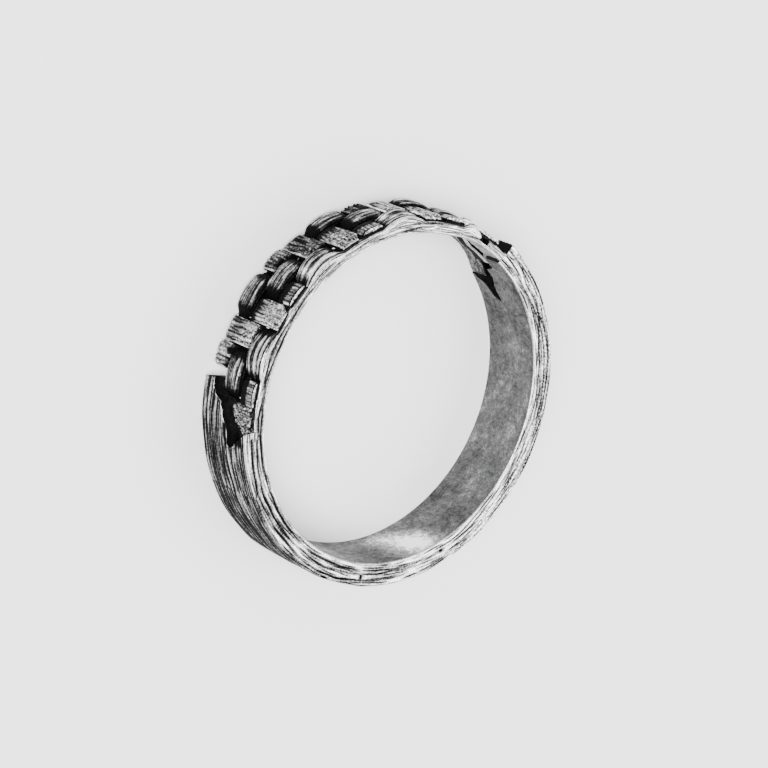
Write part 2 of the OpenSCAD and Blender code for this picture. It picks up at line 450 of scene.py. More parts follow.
# The torn edges: angle, share of the width on the far side and on the near side. The first row is the tip.
leftTear = [(346, 0.62, 0.62), (345.6, 0.57, 0.69), (345, 0.56, 0.73), (344.2, 0.57, 0.752),
            (342, 0.59, 0.75), (340, 0.57, 0.75), (338, 0.5, 0.75), (333.4, 0.42, 0.75),
            (331.9, 0.28, 0.75), (330, 0.225, 0.75), (326.8, 0.2, 0.75)]
rightTear = [(183.5, 0.47, 0.47), (185, 0.33, 0.46), (188, 0.26, 0.44), (190, 0.23, 0.43),
             (192.4, 0.08, 0.47), (194, 0.05, 0.5), (199, 0.05, 0.5), (201, 0.05, 0.67),
             (205, 0.05, 0.69), (215.5, 0.05, 0.69), (217.5, 0.05, 0.75)]
leftTip, rightTip = leftTear[0][0], rightTear[0][0]
faceKind, boreKind, tornKind = range(3)  # the band's materials, in their order
# How dark each part of the band is by angle: a tone, then its changes and the angles over which each sets in.
# The near face's changes are a painted sheen, and the bore's darker stretch from about 212 to 250 degrees is
# painted shade.
bandTones = {
    "face": (-0.06, [(-0.03, 50, 75), (0.03, 50, 70), (0.03, 110, 130), (-0.1, 190, 215), (0.06, 295, 315)]),
    "outer": (0.15, [(0.13, 0, 15), (-0.13, 80, 120)]),
    "bore": (0.06, [(0.4, 212, 224), (-0.4, 240, 250)]),
}
# Painted reflections in the bore, as lighter and darker places: angle, height, their reach both ways, and
# tone
paintedBoreReflections = [(82, 3.0, 8, 1.7, -0.8), (75, 1.2, 9, 1.3, -0.3), (63, 3.2, 6, 1.1, 0.1)]
# The rail's arches: middle and half length, in pitches. The last cross strip cuts the last one short.
railArches = []
for i in range(4):
    archFrom = 4 * i + 1.5 - diveOut
    archTo = min(archFrom + 2 * diveOut, last - 1.5 + diveOut)
    railArches.append(((archFrom + archTo) / 2, (archTo - archFrom) / 2))


def tearEdge(table, angle, side):
    rows = sorted(table)
    return np.interp(angle, [row[0] for row in rows], [row[side] for row in rows])


def slantedAngle(angle, z):
    # Rows of points near the left step lean with it.
    near = 1 - ramp(np.abs(angle - bandSizes["leftStep"] - bandSizes["stepSlant"]), 1.0, 13.0)
    lean = np.clip((z - railZ) / ring["railWidth"], 0, 1)
    return angle - bandSizes["stepSlant"] * near * lean


def fullHeight(angle):
    # 1 where the band has its full height and 0 over the rail
    left = bandSizes["leftStep"] + bandSizes["stepSlant"]
    right = bandSizes["rightStep"]
    w = bandSizes["stepWidth"]
    inside = np.clip((angle - right + w) / (2 * w), 0, 1) * np.clip((left + w - angle) / (2 * w), 0, 1)
    return 1 - inside


def railHeight(angle, z):
    u = (weave["start"] - angle) / pitchAngle
    height = underTop + 0 * (z + u)
    nearZ, nearLength, nearFall = bandSizes["nearFall"]
    innerZ, innerLength, innerFall = bandSizes["innerFall"]
    share = 1 - nearFall * np.clip((z - nearZ) / nearLength, 0, 1) ** 1.5
    share = share - innerFall * np.clip((innerZ - z) / innerLength, 0, 1) ** 2
    for middle, half in railArches:
        x = np.clip(np.abs(u - middle) / half, 0, 1)
        height = height + (overTop + weave["archRise"] - underTop) * share * np.cos(np.pi / 2 * x) ** 0.8
    s = ramp(z, 3.0, 4.0)
    middle = bandSizes["notchMiddle"] + 0.8 * (s - 0.5) * np.sin(9 * z)
    away = np.abs(angle - middle) / bandSizes["notchHalf"]
    return height - bandSizes["notchDepth"] * (1 - ramp(away, 0.9, 1.0))


def archMask(angle):
    u = (weave["start"] - angle) / pitchAngle
    mask = 0 * u
    for middle, half in railArches:
        mask = np.maximum(mask, 1 - ramp(np.abs(u - middle) / half, 0.86, 0.97))
    return mask * (1 - fullHeight(angle))


def spaced(low, high, step):
    count = max(int(math.ceil(abs(high - low) / step)), 1)
    return np.linspace(low, high, count + 1)


def bandAngles():
    b = bandSizes
    step = b["stepWidth"]
    left = b["leftStep"] + b["stepSlant"]
    notchLow, notchHigh = b["notchMiddle"] - b["notchHalf"], b["notchMiddle"] + b["notchHalf"]
    stops = [(rightTip, 206.0 - step, 0.5), (b["rightStep"] - step, b["rightStep"] + step, 0.07),
             (b["rightStep"] + step, notchLow - 0.1, 0.4), (notchLow - 0.1, notchLow + 0.45, 0.1),
             (notchLow + 0.45, notchHigh - 0.45, 0.3), (notchHigh - 0.45, notchHigh + 0.1, 0.1),
             (notchHigh + 0.1, left - step, b["railRowStep"]), (left - step, left + step, 0.07),
             (left + step, leftTip, 0.35)]
    rail = np.unique(np.round(np.concatenate([spaced(*s) for s in stops]), 4))
    return rail, spaced(leftTip, rightTip + 360, b["rowStep"])


# The near face's main lines: angle and radius along each, with its strength there
facePaths = [
    [(-60, 9.73, 0.9), (-50, 9.7, 1), (-40, 9.76, 0.8), (-22, 9.72, 1), (0, 9.76, 1), (8, 9.77, 1),
     (20, 9.8, 0.9), (30, 9.88, 0.7), (40, 9.9, 0.9), (53, 9.88, 0.9), (60, 9.96, 0.8), (70, 9.98, 0.6),
     (80, 10.0, 0.3)],
    [(-95, 9.84, 0.6), (-80, 9.8, 0.5), (-60, 9.86, 0.6), (-45, 10.02, 0.9), (-32, 9.85, 0.9),
     (-15, 9.95, 0.8), (0, 10.19, 1), (8, 10.17, 1), (16, 10.17, 1), (26, 10.1, 0.7), (36, 10.25, 0.8),
     (48, 10.15, 0.7), (60, 10.13, 0.8), (70, 10.06, 0.8), (80, 10.02, 0.5), (90, 10.1, 0.2)],
    [(-14, 10.38, 0.9), (-8, 10.42, 1), (0, 10.48, 0.9), (8, 10.43, 1), (18, 10.45, 1), (24, 10.42, 0.6),
     (32, 10.56, 0.9), (45, 10.58, 1), (52, 10.53, 0.8), (60, 10.5, 0.8), (68, 10.46, 0.7),
     (74, 10.4, 0.2)],
    [(-6, 10.62, 0.5), (6, 10.72, 0.7), (18, 10.8, 0.6), (30, 10.7, 0.4), (40, 10.74, 0.5),
     (50, 10.76, 0.2)],
    [(66, 10.28, 0.2), (72, 10.3, 0.5), (80, 10.25, 0.4), (90, 10.45, 0.35), (105, 10.5, 0.35),
     (118, 10.42, 0.2)],
    [(118, 10.2, 0.2), (124, 10.15, 0.5), (132, 10.25, 0.3), (145, 10.46, 0.5), (158, 10.57, 0.8),
     (165, 10.55, 0.5), (172, 10.5, 0.3), (180, 10.3, 0.8), (186, 10.28, 0.9), (192, 10.22, 0.4),
     (198, 10.45, 0.7), (206, 10.5, 0.7)],
    [(120, 10.5, 0.2), (132, 10.55, 0.4), (146, 10.35, 0.6), (160, 10.28, 0.6), (170, 10.3, 0.5),
     (180, 10.05, 0.4)],
    [(140, 10.1, 0.1), (152, 10.1, 0.8), (158, 9.98, 0.7), (168, 9.93, 0.8), (174, 10.05, 0.9),
     (182, 10.05, 0.8), (188, 9.85, 0.5), (196, 9.95, 0.5), (210, 9.9, 0.4), (222, 9.85, 0.7),
     (232, 9.75, 0.6), (238, 9.72, 0.2)],
    [(238, 9.95, 0.2), (246, 9.8, 0.8), (252, 9.7, 0.9), (260, 9.72, 0.8), (266, 9.66, 0.3),
     (280, 9.75, 0.5), (295, 9.83, 0.8), (305, 9.8, 0.9)],
    [(228, 10.05, 0.3), (240, 10.0, 0.8), (250, 10.05, 0.6), (262, 9.95, 0.5), (272, 9.85, 0.7),
     (285, 10.05, 0.6), (300, 9.98, 0.5)],
]
# Small nicks in the near face: angle, radius, half length in degrees and half width
nicks = [(40.4, 10.82, 0.75, 0.11), (54.5, 10.32, 0.55, 0.13), (87.6, 10.12, 0.6, 0.09),
         (64.0, 9.66, 0.9, 0.04)]


def nickDepth(angle, radius):
    depth = 0 * (angle + radius)
    for at, r, length, width in nicks:
        depth = np.maximum(depth, np.exp(-(((angle - at) / length) ** 4) - ((radius - r) / width) ** 4))
    return depth


def makePath(seed, path):
    # A line's places, bend and breaks. Angles run past 360 and below 0, so that no line has a seam.
    table = np.array(path, float)
    return table, makeWave(seed, 1.5, 6.0, 5), makeWave(seed + 1, 1.0, 5.0, 4)


def carvePaths(angle, radius, paths):
    deepest = np.zeros(np.broadcast(angle, radius).shape)
    for table, bend, breaks in paths:
        for turn in (-360, 0, 360):
            place = angle + turn
            along = place * degreeLength
            at = np.interp(place, table[:, 0], table[:, 1])
            strength = np.interp(place, table[:, 0], table[:, 2], 0, 0)
            strength = strength * np.clip(0.9 + 0.25 * breaks(along), 0, 1)
            offset = radius - at - bandSizes["pathWobble"] * bend(along)
            width = bandSizes["pathWidth"] * (0.6 + 0.5 * strength)
            deepest = np.maximum(deepest, strength * np.exp(-((offset / width) ** 2)))
    return deepest


outerLines = makeLines(11, evenPlaces(12, 18, 0.05, 3.95, 0.25), "outer")
outerLines += makeLines(13, evenPlaces(14, 17, 0.1, 3.9, 0.4), "outerFine")
faceLines = [makePath(400 + 2 * i, path) for i, path in enumerate(facePaths)]
fineLines = makeLines(23, [0.1, 0.24, 0.36, 0.5, 0.62, 0.8, 0.95, 1.08, 1.2, 1.32], "faceFine")
farLines = makeLines(25, [0.2, 0.45, 0.7, 0.95, 1.2], "farFace")
tornRough = makeRough(31, 0.22)
edgeRough = makeRough(32, 0.5)
lumps = makeRough(33, 3.5)


def bandProfile(angle, inner, nearSide, torn):
    # Points round one side of the band's section: from the bore at the height of inner, by way of the
    # near face (nearSide) or the far face, to the outer face above it. Returns angle, z, radius and groove.
    b = bandSizes
    rows = angle[:, None]
    bore, bevel = ring["boreRadius"], ring["bevel"]
    if nearSide:
        at = b["thinFrom"]
        bore = bore + b["thinDepth"] * plateau(rows, at - 0.5, at + 0.5, 221, 233)
    faceZ = ring["width"] if nearSide else 0.0
    innerZ = inner[:, None]
    sign = 1.0 if nearSide else -1.0
    full = fullHeight(angle)[:, None] if nearSide else np.ones((len(angle), 1))
    arch = archMask(angle)[:, None] if nearSide else np.zeros((len(angle), 1))

    def groundHeight(a, z):
        rail = railHeight(a, z) if nearSide else underTop
        return mix(rail, ring["outerRadius"] - 0.03 + 0.012 * lumps(a * degreeLength, z), full)

    def lengthwise(a):
        return a * ring["outerRadius"] * math.pi / 180

    def leaning(z):
        return slantedAngle(rows, z) if nearSide else rows + 0 * z

    faceCount, outerCount = b["nearCounts"] if nearSide else b["farCounts"]
    boreZ = mix(innerZ, faceZ - sign * bevel, np.linspace(0, 1, b["boreCount"])[None])
    bits = [(leaning(boreZ), boreZ, bore + 0 * boreZ)]
    marks = [0 * boreZ]

    share = np.linspace(0, 1, faceCount)[None]
    faceTop = groundHeight(rows, faceZ + 0 * rows)
    faceR = mix(bore + bevel, faceTop - bevel, share)
    faceA = rows + 0 * faceR
    across = (faceR - bore) / (faceTop - bore) * 1.4
    groove = carve(lengthwise(faceA), across, fineLines if nearSide else farLines)
    if nearSide:
        groove = np.maximum(carvePaths(faceA, faceR, faceLines), 0.8 * groove)
    groove = groove * ramp(share, 0.0, 0.08)
    nick = nickDepth(faceA, faceR) if nearSide else 0 * groove
    faceZs = faceZ - sign * (b["faceGrooveDepth"] * groove + b["nickDepth"] * nick)
    bits.append((leaning(faceZs), faceZs, faceR))
    marks.append(np.maximum(groove, 1.4 * nick))

    topZ = mix(innerZ, b["archEdge"], arch) if nearSide else innerZ
    share = np.linspace(1, 0, outerCount)[None]
    outerZ = mix(topZ, faceZ - sign * bevel, share)
    outerA = leaning(outerZ)
    groove = carve(lengthwise(outerA), outerZ, outerLines)
    outerR = groundHeight(rows + 0 * outerZ, outerZ) - b["grooveDepth"] * groove
    edge = np.clip(1 - share * 9, 0, 1)
    outerR = outerR - 0.05 * edge**2 * (1 - 0.5 * full)
    bits.append((outerA, outerZ, outerR))
    # The torn edges' rims are lighter along the outer face.
    marks.append(groove - 0.6 * torn[:, None] * full * np.exp(-(((outerZ - innerZ) / 0.07) ** 2)))
    return [np.concatenate(part, 1) for part in (*zip(*bits), marks)]


def wallPoints(outer, bore, arch):
    # The cut face between the outer edge and the bore edge. Over an arch it steps back to the rail.
    (a0, z0, r0), (a1, z1, r1) = outer, bore
    count = bandSizes["wallCount"]
    flank = mix(r0 - 0.05, np.minimum(overFloor, r0 - 0.05), arch)
    t = np.arange(1, count + 1)[None] / (count + 1)
    s = bandSizes["flankCount"] / (count + 1)
    upper = np.clip(t / s, 0, 1)
    lower = np.clip((t - s) / (1 - s), 0, 1)
    r = np.where(t <= s, mix(r0, flank, upper), mix(flank - 0.02, r1, lower))
    z = np.where(t <= s, z0, mix(np.where(arch > 0, z1, z0), z1, lower))
    a = mix(a0, a1, t)
    fade = np.sin(np.pi * t) ** 0.5 * (1 - arch)
    return a, z + 0.025 * fade * tornRough(a * degreeLength, r), r


def polar(points):
    return (np.degrees(np.arctan2(points[..., 1], points[..., 0])) % 360, points[..., 2],
            np.hypot(points[..., 0], points[..., 1]))


def toneAt(part, angle):
    tone, changes = bandTones[part]
    return tone + sum(change * ramp(angle, a, b) for change, a, b in changes)


def bandMarks(points, groove):
    # How dark and how grainy each point of the band is
    b = bandSizes
    angle, z, r = polar(points)
    depth = ring["width"] - z
    outerShare = np.clip((r - overTop) * 10, 0, 1) * np.clip((depth - 0.05) * 12, 0, 1)
    # The near face's tone by angle is a painted sheen.
    low = mix(toneAt("face", angle), toneAt("outer", angle), outerShare)
    # The bore's tone by angle holds painted shade, and the bore has painted reflections: a wave of lighter
    # and darker tone by angle, and lighter and darker places.
    tone = toneAt("bore", angle) + 0.08 * np.sin((angle - 60) / 17)
    for patchAngle, patchZ, reach, reachZ, amount in paintedBoreReflections:
        tone = tone + amount * np.exp(-(((angle - patchAngle) / reach) ** 2) - ((z - patchZ) / reachZ) ** 2)
    low = np.where(r < ring["boreRadius"] + 0.01, tone, low)
    # Painted shade: the arches get darker towards their feet, where they dive under the cross strips, and the
    # rail's top is black between them.
    u = (weave["start"] - angle) / pitchAngle
    away = np.min([np.abs(u - middle) / half for middle, half in railArches], axis=0)
    upperFoot = np.max([ramp((u - middle) / half, 0.3, 0.8) * (u - middle < 1.5)
                        for middle, half in railArches], axis=0)
    onRail = (1 - fullHeight(slantedAngle(angle, 0 * z))) * ramp(depth, 0.06, 0.3) * (r > underTop - 0.1)
    onRail = onRail * (z > 2.6) * np.where(angle > turnAngle(-stripEdge), ramp(depth, 0.2, 0.4), 1)
    footShade = 0.65 * ramp(away, 0.55, 0.95) + 0.3 * upperFoot * ramp(depth, 0.2, 0.5)
    low = low + onRail * (footShade - 0.03 - 0.25 * (1 - ramp(angle, 220, 235)))
    groove = groove * (1 - 0.2 * onRail)
    # The small steps in the rail, its notch and its end face are black.
    thinStep = (np.abs(angle - b["thinFrom"]) < 0.8) & (r < ring["boreRadius"] + 0.14) & (depth < 0.9)
    endFace = (np.abs(angle - b["rightStep"]) < 1.3 * b["stepWidth"]) & (r < ring["outerRadius"] - 0.1)
    notch = (np.abs(angle - b["notchMiddle"]) < 1.1 * b["notchHalf"]) & (r < overFloor + 0.1)
    cut = ((endFace & (r > underTop + 0.05)) | (notch & (r > underTop - 0.3))) & (z > railZ)
    low = np.where(thinStep | cut, 1.0, low)
    # The near face is gritty, most of all along its outer half on the right.
    onFace = (depth < 0.2) & (r > ring["boreRadius"] + 0.1)
    gritty = plateau(angle, 80, 105, 205, 225) * ramp(r, 9.9, 10.3)
    grain = onFace * (0.1 + 0.3 * gritty)
    low = low + onFace * (0.05 * gritty - 0.03)
    return {"groove": groove / (1 - grain), "low": low, "grain": grain}


def buildBand():
    b = bandSizes
    rail, full = bandAngles()
    railEdge = np.where(rail > 265, tearEdge(leftTear, rail, 2), tearEdge(rightTear, rail, 2)) * ring["width"]
    offTips = np.minimum(np.abs(rail - leftTip), np.abs(rail - rightTip)) > 0.05
    shake = 0.02 * edgeRough(rail * degreeLength, 0 * rail) * offTips
    between = rail[1:-1]  # the tips belong to the full rows
    split = mix(leftTear[0][1], rightTear[0][1], ramp(full, leftTip, rightTip + 360)) * ring["width"]

    allAngles = np.concatenate([full, between + 360])
    angles = np.where(allAngles >= 360, allAngles - 360, allAngles)
    inner = np.concatenate([split, (railEdge + shake)[1:-1]])
    fullCount = len(full)

    points, grooves = [], []
    faces, kinds = [], []
    total = 0

    def addPoints(a, z, r, groove):
        nonlocal total
        flat = ringPoints(np.ravel(a), np.ravel(z), np.ravel(r))
        points.append(flat)
        grooves.append(np.broadcast_to(groove, np.shape(a)).ravel())
        ids = np.arange(total, total + len(flat)).reshape(np.shape(a))
        total += len(flat)
        return ids

    def addWall(ids, arch):
        every = np.concatenate(points)
        return addPoints(*wallPoints(polar(every[ids[:, -1:]]), polar(every[ids[:, :1]]), arch), 0.6)

    def addFaces(ids, kind, closedRows=False):
        made = gridFaces(ids, closedRows)
        faces.append(made)
        kinds.append(np.full(len(made), kind))

    near = addPoints(*bandProfile(angles, inner, True, np.arange(len(angles)) >= fullCount))
    farBits = bandProfile(angles[:fullCount], split, False, 0 * full)
    farInner = addPoints(*(bit[:, 1:-1] for bit in farBits))
    far = np.concatenate([near[:fullCount, :1], farInner, near[:fullCount, -1:]], 1)
    railRows = np.arange(fullCount, len(angles))
    railWall = addWall(near[railRows], archMask(between)[:, None])
    tipRows = {"left": 0, "right": fullCount - 1}
    tips = {key: addWall(near[row:row + 1], np.zeros((1, 1))) for key, row in tipRows.items()}

    boreCount = b["boreCount"]
    addFaces(near[:, :boreCount], boreKind, True)
    addFaces(near[:, boreCount - 1:], faceKind, True)
    addFaces(far[:, :boreCount], boreKind)
    addFaces(far[:, boreCount - 1:], faceKind)

    # The rail's wall runs from the right tip round to the left tip.
    wallIds = np.concatenate([tips["right"], railWall, tips["left"]])
    rowIds = np.concatenate([[fullCount - 1], railRows, [0]])
    addFaces(np.concatenate([near[rowIds][:, -1:], wallIds, near[rowIds][:, :1]], 1), tornKind)

    # The far stubs, from each tip to its broken end
    for key, table, stop, lean in (("left", leftTear, *b["leftEnd"]), ("right", rightTear, *b["rightEnd"])):
        tip = table[0][0]
        direction = 1 if stop > tip else -1
        steps = np.concatenate([tip + direction * np.array([0.12, 0.25, 0.4, 0.6, 0.8]),
                                spaced(tip + direction * 1.05, stop, 0.4)])
        high = tearEdge(table, steps, 1) * ring["width"]
        high = high + 0.02 * edgeRough(steps * degreeLength, 3 + 0 * steps)
        a, z, r, groove = bandProfile(steps, high, False, 0 * steps + 1)
        close = (1 - ramp(np.abs(steps - stop), 0.0, 3.0))[:, None]
        ids = addPoints(a + lean * close * (z / high.max() - 0.5), z, r, groove)
        wall = addWall(ids, np.zeros((len(steps), 1)))
        row = tipRows[key]
        fullIds = np.concatenate([far[row:row + 1], ids])
        addFaces(fullIds[:, :boreCount], boreKind)
        addFaces(fullIds[:, boreCount - 1:], faceKind)
        wallAll = np.concatenate([tips[key], wall])
        addFaces(np.concatenate([fullIds[:, -1:], wallAll, fullIds[:, :1]], 1), tornKind)
        # The end is closed by a fan.
        loop = np.concatenate([ids[-1], wall[-1]])
        points.append(np.concatenate(points)[loop].mean(0)[None])
        grooves.append(np.array([0.8]))
        centre = np.full(len(loop), total)
        total += 1
        faces.append(np.stack([loop, np.roll(loop, -1), centre, centre], -1))
        kinds.append(np.full(len(loop), tornKind))

    allPoints = np.concatenate(points)
    marks = bandMarks(allPoints, np.concatenate(grooves))
    materials = [faceSilver, boreSilver, tornSilver]
    return makePiece("tornBand", allPoints, np.concatenate(faces), marks, materials, np.concatenate(kinds),
                     "band", 60)


band = buildBand()
print("band made:", len(band.data.polygons), "faces")


# Strips of the weave

stripSizes = {
    "topPoints": 46,
    "sidePoints": 3,
    "bottomPoints": 7,
    "crossRings": 64,
    "ringStep": 0.045,  # in pitches, along the long strands
    "crossGrooves": 7,
    "crossGrooveDepth": 0.06,
    "strandGrooves": 9,
    "strandGrooveDepth": 0.05,
    "farDip": 0.34,
    "nearDip": 0.2,
    "dipLength": 0.5,
    "gapRings": (0.04, 0.09, 0.11, 0.135),  # more rings this far from the middle of a gap
    "rootLength": 0.42,  # in pitches, where the long strands grow out of the band
    "middleEnd": 0.52,
    "farEnd": 1.62,
    "endInset": 0.03,
    "tabRings": (3.3, 3.8, 26),
    "cornerCut": 0.34,
    "grainFrom": (9.0, -9.0, 1.3, 2.4),  # the height from which strips 1, 2, 3 and 4 of each four are grainy
    "fringedStrip": 9,
    "fringeDepth": 0.26,
    "brightFrom": 12,  # less black from this strip on
    "toneStrips": (0, 3, 6, 9, 11, 13),  # darker towards the middle of the weave, and bright at its right end
    "tones": (0.16, 0.16, 0.38, 0.08, 0.2, 0.0),
}


def stripSection():
    # A closed section: position across from -1 to 1, height from 0 to 1, and 1 where grooves are cut.
    s = stripSizes
    q = np.sin(np.linspace(-1, 1, s["topPoints"]) * np.pi / 2 * 0.97) / np.sin(np.pi / 2 * 0.97)
    top = 0.5 + 0.5 * np.sqrt(np.clip(1 - np.abs(q) ** 3, 0, 1))
    side = np.linspace(0.5, 0, s["sidePoints"] + 2)[1:]
    bottom = np.linspace(1, -1, s["bottomPoints"] + 2)[1:-1]
    across = np.concatenate([q, np.ones(len(side)), bottom, -np.ones(len(side))])
    up = np.concatenate([top, side, 0 * bottom, side[::-1]])
    cut = np.concatenate([np.ones(len(q)), np.zeros(len(side) * 2 + len(bottom))])
    return across, up, cut


def darkenSides(deep, up):
    # Painted shade: a strip's sides are black, where they face the strips beside it. Its underside is dark
    # grey.
    side = 0.9 * (1 - ramp(up, 0.2, 0.72))
    return np.where(up[None] < 0.01, 0.42, np.maximum(deep, side[None]))


def sweepStrip(name, points, marks, material, node, sharpAngle=55, capLow=(0.3, 0.3), capEdgeShade=0.0):
    # Each end is closed by a ring just inside its edge and a fan, with the end's own tone; that ring can also
    # carry painted shade.
    rings, n = points.shape[:2]
    middles = [points[row].mean(0) for row in (0, -1)]
    inner = [mix(points[row], middle, 0.08) for row, middle in zip((0, -1), middles)]
    flat = np.concatenate([inner[0][None], points, inner[1][None]]).reshape(-1, 3)
    ids = np.arange((rings + 2) * n).reshape(rings + 2, n)
    faces = [gridFaces(ids, closedCols=True)]
    for end, shift in ((0, 1), (-1, -1)):
        centre = np.full(n, len(flat) + (end == -1))
        faces.append(np.stack([ids[end], np.roll(ids[end], shift), centre, centre], -1))
    faces = np.concatenate(faces)

    def withCaps(values, ends, edge=0.0):
        first, second = (np.full(n, value) + edge for value in ends)
        return np.concatenate([first, values.ravel(), second, ends])

    caps = {"groove": ((0.2, 0.2),), "low": (capLow, capEdgeShade), "grain": ((0.3, 0.3),)}
    marks = {mark: withCaps(values, *caps[mark]) for mark, values in marks.items()}
    makePiece(name, np.concatenate([flat, middles]), faces, marks, [material], np.zeros(len(faces)),
              node, sharpAngle)


def buildStrand(name, node, column, start, stop, seed):
    s = stripSizes
    across, up, cut = stripSection()
    u = np.linspace(start, stop, int((stop - start) / s["ringStep"]) + 1)
    # Where the strand widens for a gap between cross strips, it has more rings.
    gaps = np.arange(0.5 + (column + 1) % 2, last, 2)
    nearGaps = np.add.outer(gaps, np.outer((-1, 1), s["gapRings"])).ravel()
    nearGaps = nearGaps[(nearGaps > start) & (nearGaps < stop)]
    u = np.unique(np.round(np.concatenate([u, nearGaps]), 4))
    dist = archDistance(u, column)
    over = 1 - ramp(dist, 0.62, diveOut)
    overIn = 1 - ramp(dist, diveIn, diveOut)
    bulge = weave["archRise"] * np.clip(1 - (dist / diveIn) ** 2, 0, 1)
    # Both strands grow out of the band at the right end.
    root = ramp(u, rightTurn, rightTurn + s["rootLength"])
    rootBelow = ramp(u, rightTurn + s["rootLength"], rightTurn + s["farEnd"])
    if column == 1:
        rootBelow = ramp(u, last - 0.55, last + 0.35)
    between = 1 - ramp(np.abs(dist - 1), 0.09, 0.135)
    lens = 1 - ramp(dist, 0.35, diveOut)
    half = mix(strandWaist, strandHalf, np.maximum(np.maximum(lens, root), between))
    low = mix(mix(underFloor, overFloor, overIn) + 0.8 * bulge, ring["boreRadius"] + 0.08, rootBelow)
    high = mix(mix(underTop, overTop, over) + bulge, ring["outerRadius"] - 0.08, root)
    places = evenPlaces(seed + 1, s["strandGrooves"], -strandHalf, strandHalf, 0.12)
    lines = makeLines(seed, places, "strand")
    groove = carve(u[:, None] * pitch, across[None] * strandHalf, lines) * cut[None]
    depth = s["strandGrooveDepth"] * (0.4 + 0.6 * over[:, None])
    r = mix(low[:, None], high[:, None], up[None]) - depth * groove
    z = columnZ(column) + across[None] * half[:, None] + 0 * r
    a = turnAngle(u)[:, None] + 0 * r
    # Painted shade: black where the strand dives under the cross strips. The strand is also lighter towards
    # the right end.
    tone = 0.07 - 0.04 * column - 0.14 * ramp(u, 6, 8) - 0.25 * ramp(u, 9.5, 12)
    black = 0.95 - 0.35 * ramp(u, 10, 12.5)
    deep = ((black * ramp(dist, 0.4, 0.92) + tone) * (1 - root))[:, None] + 0 * r
    deep = darkenSides(deep, up)
    # The undersides at the right end are smooth like the bore, and the middle strand's has a black edge of
    # painted shade.
    below = np.where(across < 0.05, 1.0, 0.2)[None] if column == 1 else 0.4
    bottom = (up < 0.02)[None] * ramp(u, last - 0.6, last - 0.2)[:, None]
    marks = {"groove": groove, "low": mix(deep, below, bottom)}
    sweepStrip(name, ringPoints(a, z, r), marks, strandSilver, node, capLow=(0.9, 0.5))


buildStrand("middleStrand", "middle_strand", 1, -0.45, rightTurn + stripSizes["middleEnd"], 101)
buildStrand("farStrand", "far_strand", 2, 0.5, rightTurn + stripSizes["farEnd"], 121)
print("long strands made")


def crossState(k, z, length):
    # 1 where cross strip k is over and 0 where it is under, with dives of the given length
    def rise(border, lowSide, highSide):
        if lowSide == highSide:
            return np.full(z.shape, float(lowSide))
        if highSide:
            return ramp(z, border, border + length)
        return 1 - ramp(z, border - length, border)

    near = rise(2 * columnWidth, crossIsOver(k, 1), crossIsOver(k, 0))
    far = rise(columnWidth, crossIsOver(k, 2), crossIsOver(k, 1))
    return np.where(z > columnZ(1), near, far)


def flare(gap, z):
    # A cross strip keeps its full width under the long strands, except where one dives beside it.
    free = np.ones(z.shape)
    for c in (1, 2):
        if (math.floor(gap) + c) % 2 == 0:
            free = free * ramp(np.abs(z - columnZ(c)), strandHalf + 0.035, strandHalf + 0.055)
    return free


